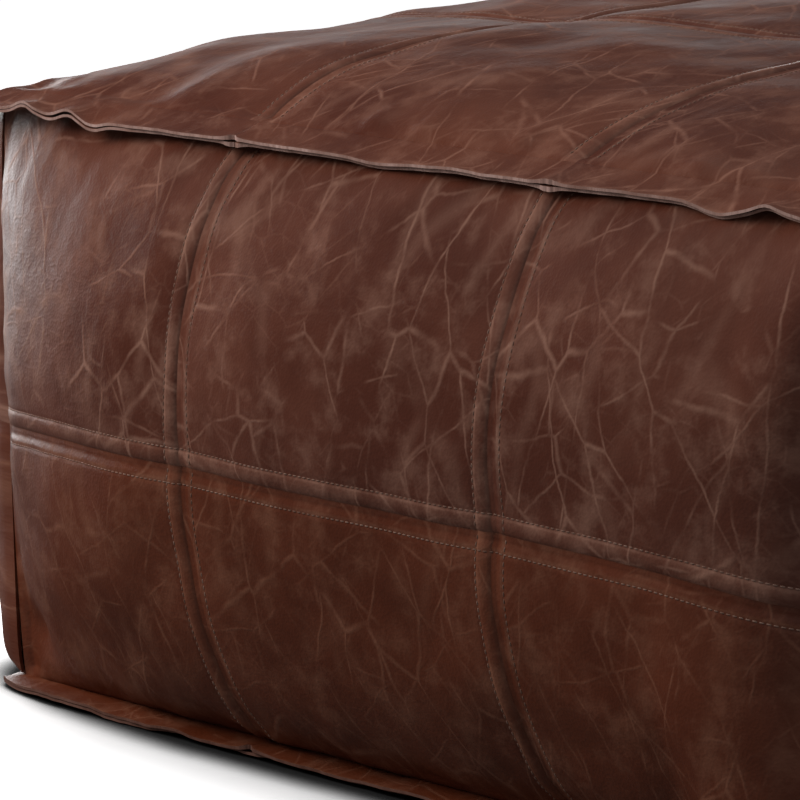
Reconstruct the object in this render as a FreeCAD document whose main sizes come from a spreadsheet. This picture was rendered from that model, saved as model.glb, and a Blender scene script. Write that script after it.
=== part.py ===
import FreeCAD, Part
import math
import os

import Sketcher
from FreeCAD import Placement, Rotation, Vector

# A large square floor pouf, sewn from leather panels and stuffed round a block of foam.
#
# The cover has a 3 by 3 grid of panels on top and a 3 by 2 grid on each of its four sides.  Two
# panels meet in a flat seam with a row of stitching on each side of it.  Round the top and round
# the bottom the panels' raw edges are turned outwards and sewn together as a flat lip, the flange.
# Two base panels are joined by a zip, whose slider and pull tab are the only moving parts.  Inside
# the cover are a sewn liner bag, wadding and the foam core.
#
# Frame: millimetres, +Z up, origin on the floor under the middle, front face towards -Y.

# The driving dimensions.  Every other size in the model follows from these.
DRIVING_DIMENSIONS = [
    ("seam_half", 318, "half the width of the cover, measured at the top and bottom seams"),
    ("top_seam", 311, "height of the plane between the two layers of the top flange"),
    ("crown", 46, "rise of the middle of the top above its seams"),
    ("face_bulge", 62, "how far the middle of a side stands out past its seams"),
    ("corner_bulge", 3, "how far an upright corner stands out past its ends"),
    ("widest_height", 170, "height at which the sides stand out furthest"),
    ("level_seam", 153, "height of the seam between the upper and lower side panels"),
    ("flange_width", 19, "width of the flange outside the seam"),
    ("leather", 2, "thickness of one layer of leather"),
    ("seam_gap", 0.6, "gap between two panels that are joined edge to edge"),
    ("layer_gap", 0.3, "gap between the two layers of a flange"),
    ("stitch_offset", 9, "distance of a row of stitching from its seam"),
    ("thread_radius", 0.5, "half the thickness of the sewing thread"),
    ("liner_gap", 0.6, "gap between the leather and the liner bag"),
    ("liner", 0.6, "thickness of the liner cloth"),
    ("side_wadding", 26, "thickness of the side wadding at the seams"),
    ("wadding_gap", 1, "gap between two stuffing pieces"),
    ("core_inset", 12, "distance of the foam core from the top seam plane"),
    ("core_chamfer", 18, "chamfer on the upright edges of the foam core"),
    ("lining_floor", 12, "height of the underside of the liner bag"),
    ("zip_place", 200, "distance of the zip behind the middle of the base"),
    ("zip_half", 306, "half the length of the opening between the base panels"),
    ("slot_half", 8, "half the width of the slot that the zip lies in"),
    ("hem_height", 9, "height of the folded hem beside the zip, where the tape is sewn on"),
    ("hem_lip", 10, "width of the hem's upper lip"),
    ("tape_half", 294, "half the length of the zip tape"),
    ("tape_width", 14, "width of one zip tape"),
    ("tape", 0.6, "thickness of the zip tape"),
    ("coil_gap", 0.9, "distance of each coil from the middle of the zip"),
    ("coil_width", 2.2, "width of one coil"),
    ("coil_height", 1.8, "height of one coil"),
    ("slider_travel", 540, "travel of the zip slider"),
    ("slider_length", 12, "length of the slider"),
    ("slider_width", 9, "width of the slider"),
    ("plate", 1.2, "thickness of the slider's plates and of the pull tab"),
    ("plate_gap", 0.3, "gap between the slider's plates and the zip"),
    ("web_width", 1.2, "thickness of the web that joins the slider's two plates"),
    ("pin_height", 3.6, "height of the pull tab's pin above the floor"),
    ("pin_radius", 0.8, "radius of the pull tab's pin"),
    ("pin_clearance", 0.06, "radial running clearance of the pull tab on its pin"),
    ("knuckle_radius", 1.6, "outer radius of the pull tab's knuckle"),
    ("knuckle_width", 5.6, "width of the pull tab's knuckle"),
    ("tab_length", 26, "length of the pull tab from its pin"),
    ("tab_width", 8, "width of the pull tab"),
]

FACES = ["front", "right", "rear", "left"]  # each a quarter turn further round +Z
COLUMNS = ["left", "centre", "right"]  # as seen from outside the face
TOP_ROWS = ["front", "middle", "rear"]

doc = FreeCAD.newDocument("pouf")
sheet = doc.addObject("Spreadsheet::Sheet", "Dims")
for row, (alias, value, meaning) in enumerate(DRIVING_DIMENSIONS, start=1):
    sheet.set(f"A{row}", meaning)
    sheet.set(f"B{row}", str(value))
    sheet.setAlias(f"B{row}", alias)
doc.recompute()

parts = []  # every object that is written to a STEP file


def size(alias):
    """One driving dimension, read from the sheet."""
    return float(sheet.get(alias))


def with_sheet(expression):
    """The expression with each alias named as a cell of the sheet."""
    words = expression.split()
    return " ".join(f"Dims.{word}" if word[0].isalpha() else word for word in words)


def value_of(expression):
    """The number that an expression in aliases, such as "seam_half + leather", comes to."""
    return float(sheet.evalExpression(with_sheet(expression)))


def negative(expression):
    return f"-1 * ( {expression} )"


def bind(thing, prop, expression):
    """Binds one property of an object to an expression in the sheet's aliases."""
    thing.setExpression(prop, with_sheet(expression))


# ---------------------------------------------------------------- sketches and bodies


def new_body(label):
    body = doc.addObject("PartDesign::Body", label)
    body.Label = label
    parts.append(body)
    return body


def sketch_on(body, plane, name, height="0"):
    """An empty sketch on one of the body's own origin planes, moved along the plane's normal."""
    sketch = body.newObject("Sketcher::SketchObject", name)
    origin_plane = [f for f in body.Origin.OriginFeatures if f.Role == plane][0]
    sketch.AttachmentSupport = [(origin_plane, "")]
    sketch.MapMode = "FlatFace"
    if height != "0":
        bind(sketch, "AttachmentOffset.Base.z", height)
    return sketch


def place_point(sketch, geometry, vertex, across, up):
    """Fixes a sketch point at two expressions, measured from the sketch's origin."""
    for kind, expression, axis in (("DistanceX", across, -2), ("DistanceY", up, -1)):
        if expression == "0":
            on_axis = Sketcher.Constraint("PointOnObject", geometry, vertex, axis)
            sketch.addConstraint(on_axis)
        else:
            distance = Sketcher.Constraint(kind, -1, 1, geometry, vertex, value_of(expression))
            index = sketch.addConstraint(distance)
            bind(sketch, f"Constraints[{index}]", expression)


def polygon(sketch, corners):
    """A closed outline of straight lines through corners, each a pair of expressions."""
    numbers = [Vector(value_of(across), value_of(up), 0) for across, up in corners]
    first = sketch.GeometryCount
    count = len(corners)
    for i in range(count):
        sketch.addGeometry(Part.LineSegment(numbers[i], numbers[(i + 1) % count]))
    for i in range(count):
        joined = first + (i + 1) % count
        sketch.addConstraint(Sketcher.Constraint("Coincident", first + i, 2, joined, 1))
    for i, (across, up) in enumerate(corners):
        place_point(sketch, first + i, 1, across, up)


def rectangle(sketch, low_across, low_up, high_across, high_up):
    polygon(
        sketch,
        [
            (low_across, low_up),
            (high_across, low_up),
            (high_across, high_up),
            (low_across, high_up),
        ],
    )


def circle(sketch, across, up, radius):
    centre = Vector(value_of(across), value_of(up), 0)
    index = sketch.addGeometry(Part.Circle(centre, Vector(0, 0, 1), value_of(radius)))
    place_point(sketch, index, 3, across, up)
    fixed = sketch.addConstraint(Sketcher.Constraint("Radius", index, value_of(radius)))
    bind(sketch, f"Constraints[{fixed}]", radius)


def pad(body, sketch, length, midplane=False):
    feature = body.newObject("PartDesign::Pad", sketch.Name + "_pad")
    feature.Profile = sketch
    bind(feature, "Length", length)
    feature.SideType = "Symmetric" if midplane else "One side"
    sketch.Visibility = False
    return feature


def pocket_through(body, sketch):
    """A pocket through everything, both ways from the sketch."""
    feature = body.newObject("PartDesign::Pocket", sketch.Name + "_pocket")
    feature.Profile = sketch
    feature.SideType = "Symmetric"
    feature.Type = "ThroughAll"
    return feature


def plain_box(label, place, lengths):
    """A Part::Box whose corner and side lengths are expressions."""
    box = doc.addObject("Part::Box", label)
    box.Label = label
    for prop, expression in zip(("Length", "Width", "Height"), lengths):
        bind(box, prop, expression)
    for axis, expression in zip("xyz", place):
        bind(box, f".Placement.Base.{axis}", expression)
    return box


# ---------------------------------------------------------------- pillow surfaces


def free_form(label, shape, quarter_turns=0):
    """A piece whose shape is a stuffed, doubly curved patch, which no sketch feature makes."""
    feature = doc.addObject("Part::Feature", label)
    feature.Label = label
    feature.Shape = shape
    feature.Placement = Placement(Vector(), Rotation(Vector(0, 0, 1), 90 * quarter_turns))
    parts.append(feature)
    return feature


SEAM = size("seam_half")
LEATHER = size("leather")
FLANGE = size("flange_width")
TOP_SEAM = size("top_seam")
LEVEL_SEAM = size("level_seam")
WIDEST = size("widest_height")
HALF_GAP = size("seam_gap") / 2
SIDE_TOP = TOP_SEAM - size("layer_gap") - LEATHER  # underside of the top flange's lower layer
SIDE_BOTTOM = LEATHER + size("layer_gap") + LEATHER  # upper side of the bottom flange
SEAM_LINE = (SEAM + FLANGE) / 3  # the panels are cut to one width, flange included
SIDE_POWER = 2.8  # how full a side stays towards its top and bottom seams
CORNER_POWER = 8  # how full a side stays towards its upright corners
CROWN_POWER = 5.5  # how full the top stays towards its edges


def side_rise(u):
    """Bulge of a side where it's widest.  u runs from -1 at its left corner to 1 at its right."""
    corner = size("corner_bulge")
    return corner + (size("face_bulge") - corner) * (1 - abs(u) ** CORNER_POWER)


def side_bulge(u, z):
    """How far a side stands out past its seams at share u of its width and height z."""
    reach = SIDE_TOP - WIDEST if z > WIDEST else WIDEST - SIDE_BOTTOM
    return side_rise(u) * (1 - abs((z - WIDEST) / reach) ** SIDE_POWER)


def side_point(u, outward, z):
    """A point of the front face at share u of its width.  Points of one u lie in one plane."""
    lean = u * size("corner_bulge") / side_rise(u)
    return Vector(u * SEAM + lean * (outward - SEAM), -outward, z)


def stations(low, high, count):
    return [low + (high - low) * i / (count - 1) for i in range(count)]


def smooth_edge(points):
    curve = Part.BSplineCurve()
    curve.interpolate(points)
    return curve.toShape()


def side_curve(u, z_from, z_to, inset):
    """The upright outline of a side at u, moved inwards by inset."""
    heights = stations(z_from, z_to, 9)
    return smooth_edge([side_point(u, SEAM - inset + side_bulge(u, z), z) for z in heights])


def closed_wire(edges):
    """A wire through the edges in order, with straight lines where two don't meet."""
    joined = []
    for i, edge in enumerate(edges):
        following = edges[(i + 1) % len(edges)]
        joined.append(edge)
        end = edge.valueAt(edge.LastParameter)
        start = following.valueAt(following.FirstParameter)
        if end.distanceToPoint(start) > 1e-7:
            joined.append(Part.makeLine(end, start))
    return Part.Wire(joined)


def path(points):
    return [Part.makeLine(a, b) for a, b in zip(points, points[1:])]


def loft(wires):
    return Part.makeLoft(wires, True, False)


def side_panel_section(u, upper):
    """Outline of a leather side panel at u, with its layer of the flange."""
    if upper:
        near, end, outer = LEVEL_SEAM + HALF_GAP, SIDE_TOP, SIDE_TOP + LEATHER
    else:
        near, end, outer = LEVEL_SEAM - HALF_GAP, SIDE_BOTTOM, SIDE_BOTTOM - LEATHER
    lip = path(
        [
            side_point(u, SEAM, end),
            side_point(u, SEAM + FLANGE, end),
            side_point(u, SEAM + FLANGE, outer),
            side_point(u, SEAM - LEATHER, outer),
            side_point(u, SEAM - LEATHER, end),
        ]
    )
    return closed_wire([side_curve(u, near, end, 0), *lip, side_curve(u, end, near, LEATHER)])


def side_sheet_section(u, z_low, z_high, inset, thickness):
    """Outline of a curved sheet that follows a side, such as the liner."""
    outer = side_curve(u, z_low, z_high, inset)
    inner = side_curve(u, z_high, z_low, inset + thickness)
    return closed_wire([outer, inner])


def side_pad_section(u, z_low, z_high, inset, flat_at):
    """Outline of wadding that follows a side outside and lies flat on the core inside."""
    outer = side_curve(u, z_low, z_high, inset)
    flat = Part.makeLine(side_point(u, flat_at, z_high), side_point(u, flat_at, z_low))
    return closed_wire([outer, flat])


def shares_towards_corner(low, high, count):
    """Shares of the width from low to high, closer together towards a corner of the cover."""
    steps = stations(0, 1, count)
    if high > -low:
        return [high - (high - low) * (1 - t) ** 1.6 for t in steps]
    if high < -low:
        return [low + (high - low) * t**1.6 for t in steps]
    return [(low + high) / 2 + (high - low) / 2 * math.sin(math.pi * (t - 0.5)) for t in steps]


def column_span(column):
    """Share of the width at which a column of panels starts and ends, with its seam gaps."""
    gap = HALF_GAP / SEAM
    line = SEAM_LINE / SEAM
    return [(-1 + gap, -line - gap), (-line + gap, line - gap), (line + gap, 1 - gap)][column]


def crown_height(x, y):
    along_x = 1 - abs(x / SEAM) ** CROWN_POWER
    along_y = 1 - abs(y / SEAM) ** CROWN_POWER
    return size("crown") * along_x * along_y


def crown_curve(x, y_from, y_to, level):
    """The top's curve over one x, at a level above the seam plane."""
    places = [SEAM * share for share in shares_towards_corner(y_from / SEAM, y_to / SEAM, 15)]
    return smooth_edge([Vector(x, y, TOP_SEAM + level + crown_height(x, y)) for y in places])


def top_panel_section(x, y_from, y_to, flange_side):
    """Outline of a top panel over one x.  flange_side is -1, 0 or 1: where its flange is."""
    outer = crown_curve(x, y_from, y_to, LEATHER)
    inner = crown_curve(x, y_to, y_from, 0)
    if flange_side == 0:
        return closed_wire([outer, inner])
    seam, tip = flange_side * SEAM, flange_side * (SEAM + FLANGE)
    levels = (TOP_SEAM + LEATHER, TOP_SEAM)
    if flange_side < 0:
        levels = levels[::-1]
    lip = path(
        [
            Vector(x, seam, levels[0]),
            Vector(x, tip, levels[0]),
            Vector(x, tip, levels[1]),
            Vector(x, seam, levels[1]),
        ]
    )
    return closed_wire([outer, *lip, inner] if flange_side > 0 else [outer, inner, *lip])


def grid_lines(index):
    """Where a row or column of top panels starts and ends, and which side its flange is on."""
    low, high = column_span(index)
    low, high = low * SEAM, high * SEAM
    if index == 0:
        low = -SEAM
    if index == 2:
        high = SEAM
    return low, high, index - 1


def top_panel(column, row):
    x_from, x_to, x_flange = grid_lines(column)
    y_from, y_to, y_flange = grid_lines(row)
    places = [SEAM * share for share in shares_towards_corner(x_from / SEAM, x_to / SEAM, 9)]
    shape = loft([top_panel_section(x, y_from, y_to, y_flange) for x in places])
    if x_flange == 0:
        return shape
    y_low = y_from - FLANGE if y_flange < 0 else y_from
    y_high = y_to + FLANGE if y_flange > 0 else y_to
    corner = Vector(x_from - FLANGE if x_flange < 0 else x_to, y_low, TOP_SEAM)
    return shape.fuse(Part.makeBox(FLANGE, y_high - y_low, LEATHER, corner)).removeSplitter()


def make_cover():
    for row, row_name in enumerate(TOP_ROWS):
        for column, column_name in enumerate(COLUMNS):
            free_form(f"top_panel_{row_name}_{column_name}", top_panel(column, row))
    for turn, face in enumerate(FACES):
        for tier in ("upper", "lower"):
            for column, column_name in enumerate(COLUMNS):
                shares = shares_towards_corner(*column_span(column), 9)
                shape = loft([side_panel_section(u, tier == "upper") for u in shares])
                free_form(f"{face}_panel_{tier}_{column_name}", shape, turn)


# ---------------------------------------------------------------- stitching

THREAD = size("thread_radius")
STITCH = size("stitch_offset")
ON_LEATHER = 1.6 * THREAD  # height of a thread's middle above the leather it lies on


def thread(points):
    """A thread through the points, lofted from a square at each of them."""
    whole = points[-1] - points[0]
    upright = abs(whole.z) > abs(whole.x) + abs(whole.y)
    beside = Vector(1, 0, 0) if upright else Vector(0, 0, 1)
    rings = []
    for i, point in enumerate(points):
        along = (points[min(i + 1, len(points) - 1)] - points[max(i - 1, 0)]).normalize()
        across = along.cross(beside).normalize() * THREAD
        up = across.cross(along)
        corners = [point + across + up, point - across + up, point - across - up, point + across - up]
        rings.append(Part.makePolygon(corners + corners[:1]))
    return loft(rings)


def turned(shape, quarter_turns):
    copy = shape.copy()
    copy.rotate(Vector(), Vector(0, 0, 1), 90 * quarter_turns)
    return copy


def on_top(x, y):
    return Vector(x, y, TOP_SEAM + LEATHER + ON_LEATHER + crown_height(x, y))


def on_side(u, z):
    return side_point(u, SEAM + ON_LEATHER + side_bulge(u, z), z)


def make_top_stitching():
    """A row on each side of every top seam.  Rows along X stop where they'd cross one along Y."""
    end = SEAM - 3 * LEATHER
    inner = SEAM_LINE - STITCH - 2 * THREAD
    outer = SEAM_LINE + STITCH + 2 * THREAD
    rows = []
    for seam in (-SEAM_LINE, SEAM_LINE):
        for line in (seam - STITCH, seam + STITCH):
            whole = [SEAM * share for share in shares_towards_corner(-end / SEAM, end / SEAM, 17)]
            rows.append(thread([on_top(line, y) for y in whole]))
            for low, high in ((-end, -outer), (-inner, inner), (outer, end)):
                part = [SEAM * share for share in shares_towards_corner(low / SEAM, high / SEAM, 9)]
                rows.append(thread([on_top(x, line) for x in part]))
    free_form("top_stitching", Part.makeCompound(rows))


def make_side_stitching():
    """Rows beside the level seam and the upright seams of every side."""
    rows = []
    for z in (LEVEL_SEAM - STITCH, LEVEL_SEAM + STITCH):
        rows.append(thread([on_side(u, z) for u in shares_towards_corner(-0.965, 0.965, 21)]))
    below = (SIDE_BOTTOM + 2 * LEATHER, LEVEL_SEAM - STITCH - 3 * THREAD)
    above = (LEVEL_SEAM + STITCH + 3 * THREAD, SIDE_TOP - 2 * LEATHER)
    for seam in (-SEAM_LINE, SEAM_LINE):
        for line in (seam - STITCH, seam + STITCH):
            for low, high in (below, above):
                rows.append(thread([on_side(line / SEAM, z) for z in stations(low, high, 9)]))
    round_the_cover = [turned(row, turn) for turn in range(4) for row in rows]
    free_form("side_stitching", Part.makeCompound(round_the_cover))


def make_flange_stitching():
    """One row along each flange, on its upper side."""
    for label, z, out in (
        ("top_flange_stitching", TOP_SEAM + LEATHER, 4 * LEATHER),
        ("bottom_flange_stitching", SIDE_BOTTOM, 6 * LEATHER),
    ):
        corner = Vector(-SEAM, -SEAM - out, z)
        row = Part.makeBox(2 * SEAM, 2 * THREAD, THREAD, corner)
        free_form(label, Part.makeCompound([turned(row, turn) for turn in range(4)]))


# ---------------------------------------------------------------- stuffing

CLOTH = size("liner")
LINER_GAP = size("liner_gap")
LINER_HALF = SEAM - LEATHER - 4 * CLOTH
LINER_FLOOR = size("lining_floor") + CLOTH + LINER_GAP
WADDING_GAP = size("wadding_gap")
CORE_HALF = SEAM - LEATHER - size("side_wadding")
WADDING_END = (CORE_HALF - WADDING_GAP) / SEAM  # the pads of two sides don't meet at the corner
CORE_TOP = TOP_SEAM - size("core_inset")


def make_liner():
    """A thin cloth bag just inside the leather.  Its base is made below."""
    sections = []
    share = LINER_HALF / SEAM
    for x in [SEAM * u for u in shares_towards_corner(-share, share, 21)]:
        outer = crown_curve(x, -LINER_HALF, LINER_HALF, -LINER_GAP)
        inner = crown_curve(x, LINER_HALF, -LINER_HALF, -LINER_GAP - CLOTH)
        sections.append(closed_wire([outer, inner]))
    free_form("liner_top", loft(sections))

    ceiling = SIDE_TOP - 4 * CLOTH
    for turn, face in enumerate(FACES):
        sections = [
            side_sheet_section(u, LINER_FLOOR, ceiling, LEATHER + LINER_GAP, CLOTH)
            for u in shares_towards_corner(-share, share, 21)
        ]
        free_form(f"liner_{face}", loft(sections), turn)


def make_wadding():
    """A pad on each side of the foam core and one on top, each flat where it meets the core."""
    inset = LEATHER + 2 * LINER_GAP + CLOTH
    low, high = LINER_FLOOR + LINER_GAP, CORE_TOP - WADDING_GAP
    for turn, face in enumerate(FACES):
        sections = [
            side_pad_section(u, low, high, inset, CORE_HALF)
            for u in shares_towards_corner(-WADDING_END, WADDING_END, 21)
        ]
        free_form(f"side_wadding_{face}", loft(sections), turn)

    half = LINER_HALF - 4 * CLOTH
    sections = []
    for x in [SEAM * u for u in shares_towards_corner(-half / SEAM, half / SEAM, 21)]:
        outer = crown_curve(x, -half, half, -2 * LINER_GAP - CLOTH)
        flat = Part.makeLine(Vector(x, half, CORE_TOP), Vector(x, -half, CORE_TOP))
        sections.append(closed_wire([outer, flat]))
    free_form("top_wadding", loft(sections))


def make_liner_base():
    body = new_body("liner_base")
    reach = "seam_half - leather - 4 * liner"
    outline = sketch_on(body, "XY_Plane", "liner_base_outline")
    rectangle(outline, negative(reach), negative(reach), reach, reach)
    pad(body, outline, "liner")
    bind(body, ".Placement.Base.z", "lining_floor")


def make_foam_core():
    """A square block with its four upright edges chamfered."""
    body = new_body("foam_core")
    reach = "seam_half - side_wadding - leather - wadding_gap"
    height = "top_seam - core_inset - wadding_gap - lining_floor - liner - liner_gap"
    outline = sketch_on(body, "XY_Plane", "core_outline")
    rectangle(outline, negative(reach), negative(reach), reach, reach)
    block = pad(body, outline, height)
    doc.recompute()
    upright = []
    for i, edge in enumerate(block.Shape.Edges, start=1):
        rise = edge.Vertexes[-1].Z - edge.Vertexes[0].Z
        if abs(rise) > 1:
            upright.append(f"Edge{i}")
    chamfer = body.newObject("PartDesign::Chamfer", "core_corners")
    chamfer.Base = (block, upright)
    bind(chamfer, "Size", "core_chamfer")
    bind(body, ".Placement.Base.z", "lining_floor + liner + liner_gap")


# ---------------------------------------------------------------- base and zip


def make_base_panels():
    """Two sheets that meet at the zip.  Beside the slot, each is folded up into a hem."""
    edge = "seam_half + flange_width"
    for label, side in (("base_panel_front", -1), ("base_panel_rear", 1)):
        body = new_body(label)
        far = negative(edge) if side < 0 else edge
        sign = "-" if side < 0 else "+"
        seam = f"zip_place {sign} seam_gap / 2"
        slot = f"zip_place {sign} slot_half"
        wall = f"zip_place {sign} slot_half {sign} leather"
        lip = f"zip_place {sign} slot_half {sign} hem_lip"
        sheet_outline = sketch_on(body, "XY_Plane", label + "_sheet")
        polygon(
            sheet_outline,
            [
                (negative(edge), far),
                (edge, far),
                (edge, seam),
                ("zip_half", seam),
                ("zip_half", slot),
                (negative("zip_half"), slot),
                (negative("zip_half"), seam),
                (negative(edge), seam),
            ],
        )
        pad(body, sheet_outline, "leather")
        hem = sketch_on(body, "YZ_Plane", label + "_hem")
        polygon(
            hem,
            [
                (slot, "leather / 2"),
                (slot, "hem_height"),
                (lip, "hem_height"),
                (lip, "hem_height - leather"),
                (wall, "hem_height - leather"),
                (wall, "leather / 2"),
            ],
        )
        pad(body, hem, "2 * zip_half", midplane=True)


def make_zip_tapes():
    """Tapes sewn on the hems, coils under the tapes' inner edges, and a stop at each end."""
    length = "2 * tape_half"
    start = negative("tape_half")
    coil_start = negative("slider_travel / 2")
    for label, near, coil_near in (
        ("front", "zip_place - tape_width", "zip_place - coil_gap - coil_width"),
        ("rear", "zip_place + coil_gap", "zip_place + coil_gap"),
    ):
        width = "tape_width - coil_gap"
        tape = plain_box(f"zip_tape_{label}", (start, near, "hem_height"), (length, width, "tape"))
        coil_place = (coil_start, coil_near, "hem_height - coil_height")
        coil_lengths = ("slider_travel", "coil_width", "coil_height")
        coil = plain_box(f"zip_coil_{label}", coil_place, coil_lengths)
        parts.extend([tape, coil])

    stops = []
    reach = "slider_travel / 2 + slider_length"
    for label, place in (("closed", negative(reach)), ("open", f"{reach} - 2 * plate")):
        corner = (place, "zip_place - coil_gap - coil_width", "hem_height - coil_height")
        lengths = ("2 * plate", "2 * coil_gap + 2 * coil_width", "coil_height")
        stops.append(plain_box(f"zip_stop_{label}", corner, lengths))
    group = doc.addObject("Part::Compound", "zip_end_stops")
    group.Label = "zip_end_stops"
    group.Links = stops
    parts.append(group)


def make_zip_slider():
    """Two plates joined by a web between the coils, with cheeks and a pin for the pull tab."""
    body = new_body("zip_slider")
    half_length = "slider_length / 2"
    half_width = "slider_width / 2"
    lower_top = "hem_height - coil_height - plate_gap"
    upper_bottom = "hem_height + tape + plate_gap"
    for name, bottom in (("lower_plate", f"{lower_top} - plate"), ("upper_plate", upper_bottom)):
        plate = sketch_on(body, "XY_Plane", name, bottom)
        nose = "slider_width / 4"
        polygon(
            plate,
            [
                (negative(half_length), negative(nose)),
                ("0", negative(half_width)),
                (half_length, negative(half_width)),
                (half_length, half_width),
                ("0", half_width),
                (negative(half_length), nose),
            ],
        )
        if name == "lower_plate":
            pad(body, plate, "plate")
            web = sketch_on(body, "XY_Plane", "web", f"{lower_top} - plate / 2")
            rectangle(
                web,
                negative(f"{half_length} - plate / 2"),
                negative("web_width / 2"),
                "0 + plate",
                "web_width / 2",
            )
            pad(body, web, "coil_height + tape + 2 * plate_gap + plate")
        else:
            pad(body, plate, "plate")

    cheek_out = "knuckle_width / 2 + plate"
    cheek_in = "knuckle_width / 2 + plate / 6"
    for name, near, far in (
        ("cheek_front", negative(cheek_out), negative(cheek_in)),
        ("cheek_rear", cheek_in, cheek_out),
    ):
        cheek = sketch_on(body, "XY_Plane", name, "pin_height - 1.2 * pin_radius")
        rectangle(cheek, negative("knuckle_radius"), near, "knuckle_radius", far)
        pad(body, cheek, f"{lower_top} - plate / 2 - pin_height + 1.2 * pin_radius")
    pin = sketch_on(body, "XZ_Plane", "pull_pin")
    circle(pin, "0", "pin_height", "pin_radius")
    pad(body, pin, "knuckle_width + 2 * plate", midplane=True)
    bind(body, ".Placement.Base.x", "-1 * slider_travel / 2")
    bind(body, ".Placement.Base.y", "zip_place")


def make_pull_tab():
    """A knuckle that turns on the slider's pin, and a blade with a finger hole."""
    body = new_body("zip_pull_tab")
    knuckle = sketch_on(body, "XZ_Plane", "knuckle")
    circle(knuckle, "0", "pin_height", "knuckle_radius")
    pad(body, knuckle, "knuckle_width", midplane=True)
    neck = sketch_on(body, "XY_Plane", "tab_neck", "pin_height - plate / 2")
    neck_half = "knuckle_width / 2 - plate / 2"
    rectangle(neck, "knuckle_radius / 2", negative(neck_half), "tab_length / 2", neck_half)
    pad(body, neck, "plate")
    blade = sketch_on(body, "XY_Plane", "tab_blade", "pin_height - plate / 2")
    rectangle(blade, "tab_length / 4", negative("tab_width / 2"), "tab_length", "tab_width / 2")
    pad(body, blade, "plate")
    bore = sketch_on(body, "XZ_Plane", "pin_bore")
    circle(bore, "0", "pin_height", "pin_radius + pin_clearance")
    pocket_through(body, bore)
    finger_hole = sketch_on(body, "XY_Plane", "finger_hole")
    circle(finger_hole, "tab_length - tab_width / 2", "0", "tab_width / 4")
    pocket_through(body, finger_hole)
    bind(body, ".Placement.Base.x", "-1 * slider_travel / 2")
    bind(body, ".Placement.Base.y", "zip_place")


make_cover()
make_top_stitching()
make_side_stitching()
make_flange_stitching()
make_liner()
make_liner_base()
make_wadding()
make_foam_core()
make_base_panels()
make_zip_tapes()
make_zip_slider()
make_pull_tab()
doc.recompute()

for thing in doc.Objects:
    faults = {"Invalid", "Error"} & set(thing.State)
    if faults:
        raise RuntimeError(f"{thing.Label} failed to build: {thing.State}")
for part in parts:
    if part.Shape.isNull() or not part.Shape.isValid() or not part.Shape.Solids:
        raise RuntimeError(f"{part.Label} has no valid solid")

os.makedirs("parts", exist_ok=True)
for part in parts:
    part.Shape.exportStep(f"parts/{part.Label}.step")
print(f"wrote {len(parts)} parts")
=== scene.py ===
"""The looks of the stuffed leather pouf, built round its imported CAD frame."""

import math

import bpy
import numpy as np
from mathutils import Matrix, Vector


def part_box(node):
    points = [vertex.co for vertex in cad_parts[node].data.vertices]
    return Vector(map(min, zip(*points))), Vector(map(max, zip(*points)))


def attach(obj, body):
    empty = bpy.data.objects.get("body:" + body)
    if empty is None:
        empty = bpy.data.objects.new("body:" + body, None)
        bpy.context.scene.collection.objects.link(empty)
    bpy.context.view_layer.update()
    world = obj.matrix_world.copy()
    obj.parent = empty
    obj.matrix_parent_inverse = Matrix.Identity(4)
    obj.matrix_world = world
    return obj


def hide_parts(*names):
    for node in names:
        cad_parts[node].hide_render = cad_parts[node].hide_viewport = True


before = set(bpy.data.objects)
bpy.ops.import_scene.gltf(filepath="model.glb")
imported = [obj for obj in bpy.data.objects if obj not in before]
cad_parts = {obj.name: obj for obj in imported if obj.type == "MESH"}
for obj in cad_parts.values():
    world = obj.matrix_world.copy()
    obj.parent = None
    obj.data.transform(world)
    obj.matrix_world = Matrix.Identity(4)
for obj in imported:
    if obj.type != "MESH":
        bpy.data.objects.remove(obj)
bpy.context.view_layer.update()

# Sizes in metres.  The places come from the CAD's own boxes.
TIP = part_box("base_panel_front")[1].x  # half the width across the flanges
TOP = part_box("top_panel_front_left")[0].z  # the plane between the top flange's two layers
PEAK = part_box("top_panel_middle_centre")[1].z  # the highest point of the top
REACH = -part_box("front_panel_upper_centre")[0].y  # how far out a side stands
ZIP_Y = (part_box("zip_coil_front")[0].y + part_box("zip_coil_rear")[1].y) / 2
TAPE_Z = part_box("zip_tape_front")[0].z  # the underside of the zip's tapes
SLOT_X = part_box("zip_tape_front")[1].x + 0.001  # half the length of the slot for the zip
FLANGE = 0.019  # width of a flange
LEATHER = 0.002  # thickness of the leather
SEAM = TIP - FLANGE  # half the width across the top and bottom seams
LINE = TIP / 3  # the grid seams' distance from the middle
WIDEST = 0.170  # height at which a side stands out furthest
ROOT_RISE = 0.006  # how far the top flange slopes down from its root to its tip
SIDE_ROOT = TOP + ROOT_RISE - 0.0023  # where a side meets the top flange
CROWN = PEAK - TOP - LEATHER - ROOT_RISE - 0.0015  # height of the top's middle above its root
BASE_ROOT = 0.0060  # where a side meets the bottom flange
CORNER = 0.003  # how far an upright corner stands out past its ends
STITCH = 0.009  # a row of stitching's distance from its seam
STITCH_LINES = [seam + off for seam in (-LINE, LINE) for off in (-STITCH, STITCH)]
PITCH = 0.0034  # one stitch's length, with its gap
THREAD = 0.00037  # half the thickness of the thread
CLOTH = 0.0005  # thickness of the liner's cloth
LINER_INSET = 0.0100  # how far in from a side its liner is
LINER_DROP = LEATHER + 0.0075  # how far under the top its liner is
WADDING_INSET = 0.0150
WADDING_DROP = LEATHER + 0.0115
FACES = ["front", "right", "rear", "left"]
COLUMNS = ["left", "centre", "right"]
COLUMN_ENDS = [(-SEAM, -LINE), (-LINE, LINE), (LINE, SEAM)]
ROWS = ["front", "middle", "rear"]

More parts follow.
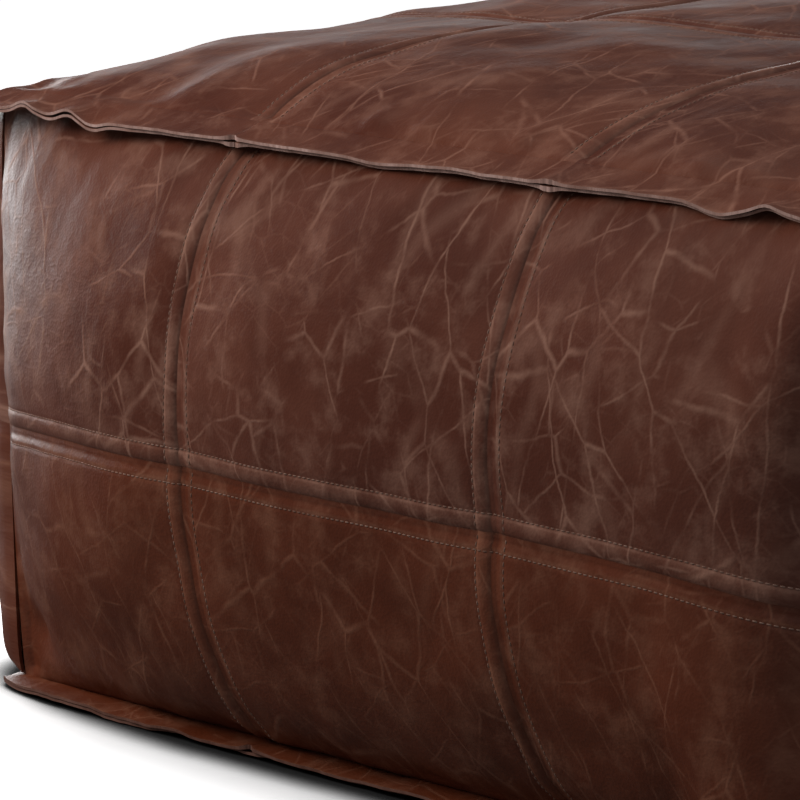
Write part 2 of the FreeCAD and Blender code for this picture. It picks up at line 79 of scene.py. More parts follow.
# The room's light: its level at the horizon, what is added overhead, and the share that shines.
SKY_LEVEL = 0.16
SKY_RISE = 0.60
SHINE = 0.35

# The white floor's brightness for the camera, then for the light it sends back to dull and to
# shiny surfaces.
PAPER = (2.25, 2.30)
PAPER_BOUNCE = 0.24
PAPER_SHINE = 0.06

# Bends of the front top flange: place along it, lift and half-length.  The other sides vary them.
FLANGE_BENDS = [
    (-0.277, 0.0046, 0.009),
    (-0.243, 0.0036, 0.009),
    (-0.222, -0.0022, 0.009),
    (-0.005, -0.0020, 0.022),
    (0.050, 0.0008, 0.015),
    (0.222, -0.0038, 0.014),
    (0.252, 0.0032, 0.009),
    (0.285, -0.0025, 0.012),
]


# ------------------------------------------------------------------ fields and lines


def waves(seed, length, count=28):
    """A smooth random field of the given wavelength.  Its values are about -1 to 1."""
    rng = np.random.default_rng(seed)
    ways = rng.normal(size=(count, 3))
    ways /= np.linalg.norm(ways, axis=1)[:, None]
    ways *= (2 * math.pi / (length * rng.uniform(0.6, 1.6, count)))[:, None]
    phase = rng.uniform(0, 2 * math.pi, count)

    def field(points):
        total = np.zeros(points.shape[:-1])
        for way, start in zip(ways, phase):
            total += np.cos(points @ way + start)
        return total * (0.9 / math.sqrt(count / 2)) * 0.7

    return field


broad = waves(3, 0.19)
medium = waves(5, 0.075)
pucker = waves(7, 0.034)
small_pucker = waves(11, 0.020)
flange_long = waves(13, 0.110)
flange_short = waves(17, 0.046)
layers_apart = waves(19, 0.060)
ragged = waves(23, 0.012)


def bell(distance, width):
    return np.exp(-((distance / width) ** 2))


def smooth_step(low, high, x):
    t = np.clip((x - low) / (high - low), 0, 1)
    return t * t * (3 - 2 * t)


def full(x, power, roundness):
    """1 in the middle and 0 at x = 1 or -1, staying full towards the ends."""
    return np.clip(1 - np.abs(x) ** power, 0, 1) ** roundness


def spaced(low, high, step, fine=0.0009, reach=0.0125):
    """Positions from low to high, close together near both ends."""
    length = high - low
    near = np.arange(0, reach, fine)
    middle = np.linspace(reach, length - reach, max(3, round((length - 2 * reach) / step)))
    return low + np.concatenate([near, middle, length - near[::-1]])


def turn_points(points, quarter_turns):
    c = round(math.cos(quarter_turns * math.pi / 2))
    s = round(math.sin(quarter_turns * math.pi / 2))
    x, y, z = points[..., 0], points[..., 1], points[..., 2]
    return np.stack([c * x - s * y, s * x + c * y, z], -1)


# ------------------------------------------------------------------ the stuffed surfaces


def seam_relief(e):
    """Height of the leather at a signed distance from a seam.

    The allowances are turned to one side, so that side is a low ridge and the other a hollow.
    """
    d = np.abs(e)
    ridge = 0.0007 * bell(e + 0.0046, 0.0036)
    hollow = -0.0009 * bell(e - 0.0034, 0.0024)
    join = -0.0006 * bell(e - 0.0004, 0.0008)
    stitch_line = -0.0004 * bell(d - STITCH, 0.0010)
    return ridge + hollow + join + stitch_line - 0.0024 * np.exp(-d / 0.022)


def level_seam(u):
    """Height of the seam between the upper and lower panels.  It sinks towards the corners."""
    return 0.1545 - 0.013 * np.abs(u) ** 5


def side_form(u, z):
    """A point of the stuffed front side, before its detail.  u is -1 to 1 along the side.

    Each side swells past the upright seam at its right, and leaves the one at its left gently.
    Towards its right end it also stays full further down.
    """
    swell = np.where(u < 0, full(u, 4.4, 1.0), full(u, 13, 0.6))
    rise = CORNER + (REACH - SEAM - CORNER) * swell
    span = np.where(z > WIDEST, SIDE_ROOT - WIDEST, WIDEST - BASE_ROOT)
    low = z < WIDEST
    steep = np.where(low, smooth_step(0.66, 0.96, u), smooth_step(0.80, 1.0, u))
    power = 2.4 + steep * np.where(low, 9.0, 2.4)
    roundness = 0.75 - steep * np.where(low, 0.45, 0.2)
    out = rise * full((z - WIDEST) / span, power, roundness)
    lean = u * CORNER / rise
    return np.stack([u * SEAM + lean * out, -(SEAM + out), z], -1)


def normal_of(form, a, b, limit_a, limit_b, step=0.0004):
    """Unit normal of form(a, b), from points a little to each side that stay inside the limits."""
    a0, a1 = np.clip(a - step, *limit_a), np.clip(a + step, *limit_a)
    b0, b1 = np.clip(b - step, *limit_b), np.clip(b + step, *limit_b)
    normal = np.cross(form(a1, b) - form(a0, b), form(a, b1) - form(a, b0))
    return normal / np.maximum(np.linalg.norm(normal, axis=-1), 1e-12)[..., None]


def side_surface(quarter_turns, u, z):
    """Points and normals of a finished side."""
    form = side_form(u, z)
    normal = normal_of(side_form, u, z, (-1, 1), (BASE_ROOT, SIDE_ROOT))
    placed = turn_points(form, quarter_turns)
    along = u * SEAM
    to_corner = SEAM - np.abs(along)
    to_root = np.minimum(SIDE_ROOT - z, z - BASE_ROOT)
    detail = seam_relief(along - LINE) + seam_relief(along + LINE) + seam_relief(level_seam(u) - z)
    detail += 0.0018 * broad(placed) + 0.0010 * medium(placed)
    gathers = 0.6 * pucker(placed * [1, 1, 0.35]) + 0.4 * small_pucker(placed * [1, 1, 0.3])
    detail += 0.0019 * gathers * np.exp(-to_root / 0.022)
    folds = 0.6 * pucker(placed * [0.35, 0.35, 1]) + 0.4 * small_pucker(placed * [0.3, 0.3, 1])
    detail += 0.0012 * folds * np.exp(-to_corner / 0.020)
    corner_dent = np.hypot(along + SEAM - 0.022, z - 0.034)
    detail += -0.0050 * bell(corner_dent, 0.013)
    fade = np.minimum(1, to_corner / 0.006) * np.minimum(1, to_root / 0.005)
    points = form + normal * (detail * fade)[..., None]
    return turn_points(points, quarter_turns), turn_points(normal, quarter_turns)


def top_form(x, y):
    crown = CROWN * full(x / SEAM, 3.5, 0.79) * full(y / SEAM, 3.5, 0.79)
    return np.stack([x, y, TOP + LEATHER + ROOT_RISE + crown], -1)


def top_surface(x, y):
    """Points and normals of the finished top."""
    form = top_form(x, y)
    normal = normal_of(top_form, x, y, (-SEAM, SEAM), (-SEAM, SEAM))
    detail = sum(seam_relief(d - line) for d in (x, y) for line in (-LINE, LINE))
    detail = detail + 0.0020 * broad(form) + 0.0010 * medium(form)
    edge_x, edge_y = SEAM - np.abs(x), SEAM - np.abs(y)
    across_x = pucker(form * [0.35, 1, 0]) + 0.6 * small_pucker(form * [0.3, 1, 0])
    across_y = pucker(form * [1, 0.35, 0]) + 0.6 * small_pucker(form * [1, 0.3, 0])
    detail += 0.0016 * across_x * np.exp(-edge_x / 0.024)
    detail += 0.0016 * across_y * np.exp(-edge_y / 0.024)
    fade = np.minimum(1, np.minimum(edge_x, edge_y) / 0.006)
    return form + normal * (detail * fade)[..., None], normal


# ------------------------------------------------------------------ flanges


def beside_seam(s):
    """Distance from s to the nearest grid seam."""
    return np.minimum(np.abs(s - LINE), np.abs(s + LINE))


def flange_plan(s, t, corner_cut):
    """Plan of a point on the front flange: s along the seam, t from 0 at its root to 1 at its tip."""
    beside = beside_seam(s)
    away = np.sign(np.abs(s) - LINE) * np.sign(s)
    slit = 0.0008 * t * np.exp(-beside / 0.003)
    near_corner = np.exp(-(SEAM - np.abs(s)) / 0.018)
    mitre = t * FLANGE * near_corner * (1 - corner_cut)
    x = s + away * slit + np.sign(s) * mitre
    at_tip = np.stack([s, np.full_like(s, -TIP), np.zeros_like(s)], -1)
    width = FLANGE + 0.0004 * ragged(at_tip) - 0.0016 * bell(beside, 0.0025)
    width = width + 0.0009 * bell(beside, 0.008) * ragged(at_tip * 2.6)
    return x, -(SEAM + t * width * (1 - corner_cut * near_corner))


def bend_of(quarter_turns, s):
    """How far the top flange's tip is bent up or down at s."""
    way, share = [(1, 1), (-1, 0.8), (-1, -0.9), (1, 0.9)][quarter_turns]
    at_tip = turn_points(np.stack([s, np.full_like(s, -TIP), 0 * s], -1), quarter_turns)
    bend = 0.0004 * flange_long(at_tip) + 0.0003 * flange_short(at_tip)
    for place, lift, half_length in FLANGE_BENDS:
        bend = bend + share * lift * bell(s * way - place, half_length)
    return bend


def ripple_of(quarter_turns, s):
    """How far the bottom flange's tip is lifted off the floor at s."""
    at_tip = turn_points(np.stack([s, np.full_like(s, -TIP), 0 * s], -1), quarter_turns)
    return 0.0014 * np.clip(0.5 + 0.9 * flange_short(at_tip) + 0.6 * flange_long(at_tip), 0, 1.8)


def gape_of(quarter_turns, s):
    """How far the flange's two layers part at the tip.  They part most near one corner."""
    at_tip = turn_points(np.stack([s, np.full_like(s, -TIP), 0 * s], -1), quarter_turns)
    near_corner = smooth_step(0.150, 0.225, -s)
    return (0.0002 + 0.0006 * near_corner) * np.clip(0.8 + 0.6 * layers_apart(at_tip), 0, 2)


# The four layers of flange: height of the upper face at root and tip, how its tip is bent, the share
# of the gape that it takes, its lift beside a grid seam, how far its tip is set back, and how much
# of its corners is cut back.
FLANGE_LAYERS = {
    "top": (TOP + LEATHER + ROOT_RISE, TOP + 0.7 * LEATHER, bend_of, 0, 0.0014, 0.0, 0.0),
    "side_upper": (TOP - 0.0002 + ROOT_RISE, TOP - 0.0002, bend_of, -1, -0.0004, 0.0020, 0.0),
    "side_lower": (BASE_ROOT, 0.0041, ripple_of, 0.1, 0.0020, 0.0, 0.55),
    "base": (BASE_ROOT - LEATHER - 0.0002, LEATHER + 0.0003, ripple_of, 0, 0.0, 0.0040, 0.55),
}


def flange_sheet(layer, quarter_turns, s, t):
    """The upper face of one layer of a flange, as a grid of points."""
    root, tip, bend, gape_share, seam_lift, set_back, corner_cut = FLANGE_LAYERS[layer]
    x, y = flange_plan(s, t, corner_cut)
    lift = bend(quarter_turns, s) * t**1.6 + gape_share * gape_of(quarter_turns, s) * t
    lift = lift + seam_lift * bell(beside_seam(s), 0.007) * t
    z = tip + (root - tip) * (1 - t) ** 1.3 + lift
    level = 1 - smooth_step(0.150, 0.225, -s) - 0.9 * bell(beside_seam(s), 0.008)
    return turn_points(np.stack([x, y + set_back * t * np.clip(level, 0.1, 1), z], -1), quarter_turns)


# ------------------------------------------------------------------ meshes


def link_object(name, data):
    thing = bpy.data.objects.new(name, data)
    bpy.context.scene.collection.objects.link(thing)
    return thing


# A grid's first and last row, then its first and last column, each with whether it runs backwards.
RIMS = [
    (np.s_[0], True),
    (np.s_[-1], False),
    (np.s_[:, 0], False),
    (np.s_[:, -1], True),
]


class Sheet:
    """Gathers closed slabs of leather into one mesh, with its hide coordinates and a worn share that
    also carries painted highlights.
    """

    def __init__(self, seed):
        self.points, self.faces, self.slots = [], [], []
        self.hide, self.wear, self.count = [], [], 0
        self.place = np.random.default_rng(seed).uniform(-40, 40, 3)

    def grid(self, points, hide, wear, material=0, flip=False):
        rows, columns = points.shape[:2]
        index = self.count + np.arange(rows * columns).reshape(rows, columns)
        quads = [index[:-1, :-1], index[1:, :-1], index[1:, 1:], index[:-1, 1:]]
        if flip:
            quads = quads[::-1]
        quads = np.stack([q.ravel() for q in quads], -1)
        self.points.append(points.reshape(-1, 3))
        self.hide.append(np.broadcast_to(hide, points.shape).reshape(-1, 3) + self.place)
        self.wear.append(np.broadcast_to(wear, (rows, columns)).ravel())
        self.faces.append(quads)
        self.slots.append(np.full(len(quads), material))
        self.count += rows * columns

    def slab(self, outer, inner, hide, wear, flip=False, edges=(0, 0, 0, 0)):
        """A closed slab.  edges gives the material at the first and last row and column."""
        self.grid(outer, hide, wear, 0, flip)
        self.grid(inner, hide, wear, 0, not flip)
        wear = np.broadcast_to(wear, outer.shape[:2])
        for material, (cut, backwards) in zip(edges, RIMS):
            rim = np.stack([outer[cut], inner[cut]])
            rim_hide = np.stack([hide[cut]] * 2)
            self.grid(rim, rim_hide, np.stack([wear[cut]] * 2), material, flip != backwards)

    def build(self, name, materials):
        mesh = bpy.data.meshes.new(name)
        points = np.concatenate(self.points)
        faces = np.concatenate(self.faces)
        mesh.from_pydata(points.tolist(), [], faces.tolist())
        mesh.polygons.foreach_set("material_index", np.concatenate(self.slots))
        mesh.polygons.foreach_set("use_smooth", np.ones(len(faces), bool))
        hide = mesh.attributes.new("hide", "FLOAT_VECTOR", "POINT")
        hide.data.foreach_set("vector", np.concatenate(self.hide).astype(np.float32).ravel())
        wear = mesh.attributes.new("wear", "FLOAT", "POINT")
        wear.data.foreach_set("value", np.concatenate(self.wear).astype(np.float32))
        for material in materials:
            mesh.materials.append(material)
        mesh.validate()
        return link_object(name, mesh)


def seam_wear(e):
    """Leather is worn lighter on a seam's ridge and along its stitches; these pale lines are also
    painted highlights.
    """
    rows = 0.7 * bell(np.abs(e) - STITCH + 0.0012, 0.0009)
    return rows + 0.30 * bell(e + 0.0050, 0.0024) + 0.25 * bell(e + 0.0006, 0.0008)


def crest_polish_and_highlight(x, y):
    """One top seam's ridge is worn smooth, from the front row's middle to the rear; its pale line is a
    painted highlight.
    """
    return 3.0 * bell(x - LINE + 0.0056, 0.0013) * smooth_step(-0.235, -0.14, y)


def place_piece(piece, node):
    """Fixes a piece to the pouf, in place of one soft CAD node."""
    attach(piece, "pouf")
    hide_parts(node)


def add_flange(sheet, layer, quarter_turns, s_line, hide_at):
    """Adds one layer of flange.  hide_at(s, t) gives its place on the hide."""
    t_line = np.array([-0.12, 0.0, 0.1, 0.2, 0.3, 0.4, 0.5, 0.6, 0.7, 0.8, 0.88, 0.95, 1.0])
    s, t = np.meshgrid(s_line, t_line, indexing="ij")
    inside = turn_points(np.stack([0 * s, -t.clip(max=0) * FLANGE, 0 * s], -1), quarter_turns)
    upper = flange_sheet(layer, quarter_turns, s, t.clip(0)) + inside
    folded = 0.0010 * bell(beside_seam(s), 0.007) * t.clip(0)
    skived = 1 - 0.3 * smooth_step(0.5, 1.0, t)
    thick = LEATHER * skived
    if layer != "base":
        thick = thick + folded
    lower = upper - np.stack([0 * s, 0 * s, thick + 0 * s], -1)
    sheet.slab(upper, lower, hide_at(s, t), 0.55 * smooth_step(0.90, 1.0, t), edges=(1, 1, 0, 1))


def panel_lines(column):
    """Places across one column of panels, closest together beside its seams."""
    return spaced(*COLUMN_ENDS[column], 0.0042)


def flange_lines(column):
    return spaced(*COLUMN_ENDS[column], 0.0030, fine=0.0010, reach=0.006)


def top_panel(row, column, materials):
    sheet = Sheet(100 + row * 3 + column)
    x, y = np.meshgrid(panel_lines(column), panel_lines(row), indexing="ij")
    outer, normal = top_surface(x, y)
    inner = outer - normal * LEATHER
    # worn tone, with painted highlights along the seams and on the crest
    wear = sum(seam_wear(d - line) for d in (x, y) for line in (-LINE, LINE)) + crest_polish_and_highlight(x, y)
    hide = np.stack([x, y, 0 * x], -1)
    sheet.slab(outer, inner, hide, wear)
    at_edge = (row == 0, column == 2, row == 2, column == 0)
    place_along = (column, row, 2 - column, 2 - row)
    for turn in range(4):

        def hide_at(s, t, turn=turn):
            return turn_points(np.stack([s, -SEAM - t * FLANGE, 0 * s], -1), turn)

        if at_edge[turn]:
            add_flange(sheet, "top", turn, flange_lines(place_along[turn]), hide_at)
    node = f"top_panel_{ROWS[row]}_{COLUMNS[column]}"
    place_piece(sheet.build(f"{node}_leather", materials), node)


def side_panel(turn, tier, column, materials):
    sheet = Sheet(200 + turn * 10 + (tier == "upper") * 5 + column)
    u_line = panel_lines(column) / SEAM
    root = SIDE_ROOT if tier == "upper" else BASE_ROOT
    share = spaced(0, 0.15, 0.0042) / 0.15
    u, w = np.meshgrid(u_line, share, indexing="ij")
    z = level_seam(u) + (root - level_seam(u)) * w
    outer, normal = side_surface(turn, u, z)
    inner = outer - normal * LEATHER
    along = u * SEAM
    # worn tone, with painted highlights along the seams
    wear = seam_wear(along - LINE) + seam_wear(along + LINE) + seam_wear(level_seam(u) - z)
    hide = np.stack([along, z, 0 * z], -1)
    sheet.slab(outer, inner, hide, wear, flip=tier == "lower")
    way = 1 if tier == "upper" else -1

    def hide_at(s, t):
        return np.stack([s, root + way * t * FLANGE, 0 * s], -1)

    add_flange(sheet, f"side_{tier}", turn, flange_lines(column), hide_at)
    node = f"{FACES[turn]}_panel_{tier}_{COLUMNS[column]}"
    place_piece(sheet.build(f"{node}_leather", materials), node)


def add_floor(sheet, x_line, y_line):
    """A flat piece of the base.  It rises a little towards the bottom flange."""
    x, y = np.meshgrid(x_line, y_line, indexing="ij")
    inside = SEAM - np.maximum(np.abs(x), np.abs(y))
    low = (BASE_ROOT - 2 * LEATHER - 0.0002) * np.exp(-inside / 0.014)
    lower = np.stack([x, y, low], -1)
    sheet.slab(lower + [0, 0, LEATHER], lower, np.stack([x, y, 0 * x], -1), 0.1)


def add_hem(sheet, side, near):
    """The edge folded up beside the zip and out over its tape."""
    x_line = np.linspace(-SLOT_X, SLOT_X, 90)

    def swept(profile):
        zero = 0 * x_line
        rows = [np.stack([x_line, near + side * out + zero, z + zero], -1) for out, z in profile]
        return np.stack(rows, 1)

    outer = swept([(0, 0.001), (0, TAPE_Z - 0.0006), (0.0006, TAPE_Z), (0.0100, TAPE_Z)])
    under = TAPE_Z - LEATHER
    inner = swept([(0.002, 0.001), (0.002, under - 0.0006), (0.0026, under), (0.0100, under)])
    hide = outer[..., [0, 2, 1]]
    sheet.slab(outer, inner, hide, 0.2, flip=side > 0, edges=(1, 1, 0, 1))


def base_flange_lines(turn, side):
    """Places along a base panel's part of the flange.  The two panels share the left and right."""
    if turn in (0, 2):
        return spaced(-SEAM, SEAM, 0.0040, 0.0010, 0.006)
    low, high = sorted((ZIP_Y, side * SEAM))
    lines = spaced(low, high, 0.0040, 0.0010, 0.006)
    return -lines[::-1] if turn == 3 else lines


def base_panel(side, materials):
    """A base panel: a sheet with a raised border and, beside the zip, a folded hem."""
    name = "base_panel_front" if side < 0 else "base_panel_rear"
    sheet = Sheet(300 + side)
    near = ZIP_Y + side * 0.008
    low, high = sorted((near, side * SEAM))
    add_floor(sheet, spaced(-SEAM, SEAM, 0.012, 0.002, 0.02), spaced(low, high, 0.012, 0.002, 0.02))
    beside_zip = np.sort(np.linspace(near, ZIP_Y + side * 0.0003, 4))
    for x_side in (-1, 1):
        add_floor(sheet, np.sort(np.linspace(x_side * SLOT_X, x_side * SEAM, 6)), beside_zip)
    add_hem(sheet, side, near)

    def hide_at(s, t):
        return np.stack([s, SEAM + t * FLANGE, 0 * s], -1)

    for turn in (0, 1, 3) if side < 0 else (1, 2, 3):
        add_flange(sheet, "base", turn, base_flange_lines(turn, side), hide_at)
    place_piece(sheet.build(f"{name}_leather", materials), name)


# ------------------------------------------------------------------ stitching


def stitch_template():
    """One stitch: a short thread that dives into the leather at both ends."""
    along = np.array([-0.5, -0.36, -0.12, 0.12, 0.36, 0.5]) * 0.80
    depth = np.array([-0.85, -0.05, 0.28, 0.28, -0.05, -0.85])
    thick = np.array([0.45, 0.95, 1.0, 1.0, 0.95, 0.45])
    angles = np.arange(6) / 6 * 2 * math.pi
    points = []
    for a, d, r in zip(along, depth, THREAD * thick):
        for angle in angles:
            points.append((a, r * math.cos(angle), 0.0005 * d + r * math.sin(angle)))
    faces = []
    for ring in range(0, 30, 6):
        for i in range(6):
            j = (i + 1) % 6
            faces.append((ring + i, ring + j, ring + 6 + j, ring + 6 + i))
    return np.array(points), np.array(faces)


TEMPLATE, TEMPLATE_FACES = stitch_template()


def stitches_along(points, normals):
    """Vertices of the stitches along one row, spaced by length."""
    steps = np.linalg.norm(np.diff(points, axis=0), axis=1)
    reach = np.concatenate([[0], np.cumsum(steps)])
    count = max(1, int(reach[-1] / PITCH))
    middles = (np.arange(count) + 0.5) * reach[-1] / count

    def at(values, where):
        return np.stack([np.interp(where, reach, values[:, k]) for k in range(3)], -1)

    ahead = at(points, middles + PITCH * 0.4) - at(points, middles - PITCH * 0.4)
    ahead /= np.linalg.norm(ahead, axis=1)[:, None]
    up = at(normals, middles)
    across = np.cross(up, ahead)
    across /= np.linalg.norm(across, axis=1)[:, None]
    up = np.cross(ahead, across)
    centre = at(points, middles)
    shape = TEMPLATE * [PITCH, 1, 1]
    return (
        centre[:, None]
        + shape[None, :, 0, None] * ahead[:, None]
        + shape[None, :, 1, None] * across[:, None]
        + shape[None, :, 2, None] * up[:, None]
    )


def stitch_piece(name, node, rows, material):
    verts = np.concatenate([stitches_along(points, normals) for points, normals in rows])
    faces = TEMPLATE_FACES[None] + (np.arange(len(verts)) * len(TEMPLATE))[:, None, None]
    mesh = bpy.data.meshes.new(name)
    mesh.from_pydata(verts.reshape(-1, 3).tolist(), [], faces.reshape(-1, 4).tolist())
    mesh.polygons.foreach_set("use_smooth", np.ones(len(mesh.polygons), bool))
    mesh.materials.append(material)
    place_piece(link_object(name, mesh), node)


def top_rows():
    """Points and normals along each row of stitching on the top.  One way's rows stop at seams."""
    end = SEAM - 0.004
    gap = 0.0012
    pieces = [(-end, -LINE - gap), (-LINE + gap, LINE - gap), (LINE + gap, end)]
    whole = np.linspace(-end, end, 300)
    rows = []
    for line in STITCH_LINES:
        rows.append(top_surface(np.full_like(whole, line), whole))
        for low, high in pieces:
            part = np.linspace(low, high, 120)
            rows.append(top_surface(part, np.full_like(part, line)))
    return rows


def side_rows():
    """The rows on the four sides.  The upright ones stop at the level seam."""
    u = np.linspace(-0.985, 0.985, 400)
    rows = []
    for turn in range(4):
        for off in (-STITCH, STITCH):
            rows.append(side_surface(turn, u, level_seam(u) + off))
        for line in STITCH_LINES:
            seam = level_seam(line / SEAM)
            upper = np.linspace(seam + 0.0015, SIDE_ROOT - 0.002, 160)
            lower = np.linspace(BASE_ROOT + 0.002, seam - 0.0015, 160)
            for z in (upper, lower):
                rows.append(side_surface(turn, np.full_like(z, line / SEAM), z))
    return rows


def flange_rows(layer):
    """The rows through the root of one flange, under the given layer."""
    s = np.linspace(-SEAM, SEAM, 500)
    t = np.full_like(s, 0.02)
    rows = []
    for turn in range(4):
        points = flange_sheet(layer, turn, s, t) - [0, 0, 0.0009]
        rows.append((points, np.broadcast_to([0.0, 0.0, 1.0], points.shape)))
    return rows


def make_stitching(material):
    stitch_piece("top_seam_stitches", "top_stitching", top_rows(), material)
    stitch_piece("side_seam_stitches", "side_stitching", side_rows(), material)
    stitch_piece("top_flange_stitches", "top_flange_stitching", flange_rows("top"), material)
    stitch_piece(
        "bottom_flange_stitches", "bottom_flange_stitching", flange_rows("side_lower"), material
    )


# ------------------------------------------------------------------ the inside


def square_grid(reach, count):
    line = np.linspace(-reach, reach, count)
    return np.meshgrid(line, line, indexing="ij")


def grid_piece(name, node, outer, inner, material):
    sheet = Sheet(len(name))
    sheet.slab(outer, inner, outer, 0.0)
    place_piece(sheet.build(name, [material]), node)


def inset_side(turn, u, z, inset, crumple):
    """The side's form moved inwards by inset, with crumples of the given size."""
    form = side_form(u, z)
    placed = turn_points(form, turn)
    form = form + np.stack([0 * u, inset + crumple * medium(placed * 3) ** 2, 0 * u], -1)
    return turn_points(form, turn)


def make_liner(material):
    reach = SEAM - 0.0050
    x, y = square_grid(reach, 70)
    top = top_form(x, y) - [0, 0, LINER_DROP]
    top[..., 2] -= 0.0010 * medium(top * 3) ** 2
    grid_piece("liner_top_cloth", "liner_top", top, top - [0, 0, CLOTH], material)
    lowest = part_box("liner_base")[0].z
    base = np.stack([x, y, lowest + 0.0003 * medium(top * 3) ** 2], -1)
    grid_piece("liner_base_cloth", "liner_base", base + [0, 0, CLOTH], base, material)
    share = reach / SEAM
    for turn, face in enumerate(FACES):
        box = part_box(f"liner_{face}")
        heights = np.linspace(box[0].z, box[1].z, 44)
        u, z = np.meshgrid(np.linspace(-share, share, 80), heights, indexing="ij")
        outer = inset_side(turn, u, z, LINER_INSET, 0.0008)
        inner = inset_side(turn, u, z, LINER_INSET + CLOTH, 0.0008)
        grid_piece(f"liner_{face}_cloth", f"liner_{face}", outer, inner, material)


def make_wadding(material):
    core_low, core_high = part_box("foam_core")
    top_low, top_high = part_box("top_wadding")
    reach = top_high.x - 0.004
    x, y = square_grid(reach, 90)
    outer = top_form(x, y) - [0, 0, WADDING_DROP]
    outer[..., 2] -= 0.0016 * (1 + medium(outer * 2.5))
    flat = np.stack([x, y, np.full_like(x, top_low.z)], -1)
    grid_piece("top_wadding_fibre", "top_wadding", outer, flat, material)
    for turn, face in enumerate(FACES):
        name = f"side_wadding_{face}"
        low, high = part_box(name)
        share = (core_high.x - 0.002) / SEAM
        heights = np.linspace(low.z, high.z, 50)
        u, z = np.meshgrid(np.linspace(-share, share, 90), heights, indexing="ij")
        outer = inset_side(turn, u, z, WADDING_INSET, 0.0018)
        flat = turn_points(np.stack([u * SEAM, np.full_like(u, -core_high.x - 0.001), z], -1), turn)
        grid_piece(f"{name}_fibre", name, outer, flat, material)


def make_foam(material):
    """The foam block, with softened edges."""
    low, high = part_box("foam_core")
    centre = (low + high) / 2
    half = (high - low) / 2 - Vector((0.001, 0.001, 0.001))
    bpy.ops.mesh.primitive_cube_add(size=2, location=(0, 0, 0))
    piece = bpy.context.object
    piece.name = "foam_core_block"
    piece.data.transform(Matrix.Translation(centre) @ Matrix.Diagonal((*half, 1)))
    bevel = piece.modifiers.new("soft edges", "BEVEL")
    bevel.width = 0.016
    bevel.segments = 5
    piece.data.materials.append(material)
    for polygon in piece.data.polygons:
        polygon.use_smooth = True
    place_piece(piece, "foam_core")


# ------------------------------------------------------------------ materials


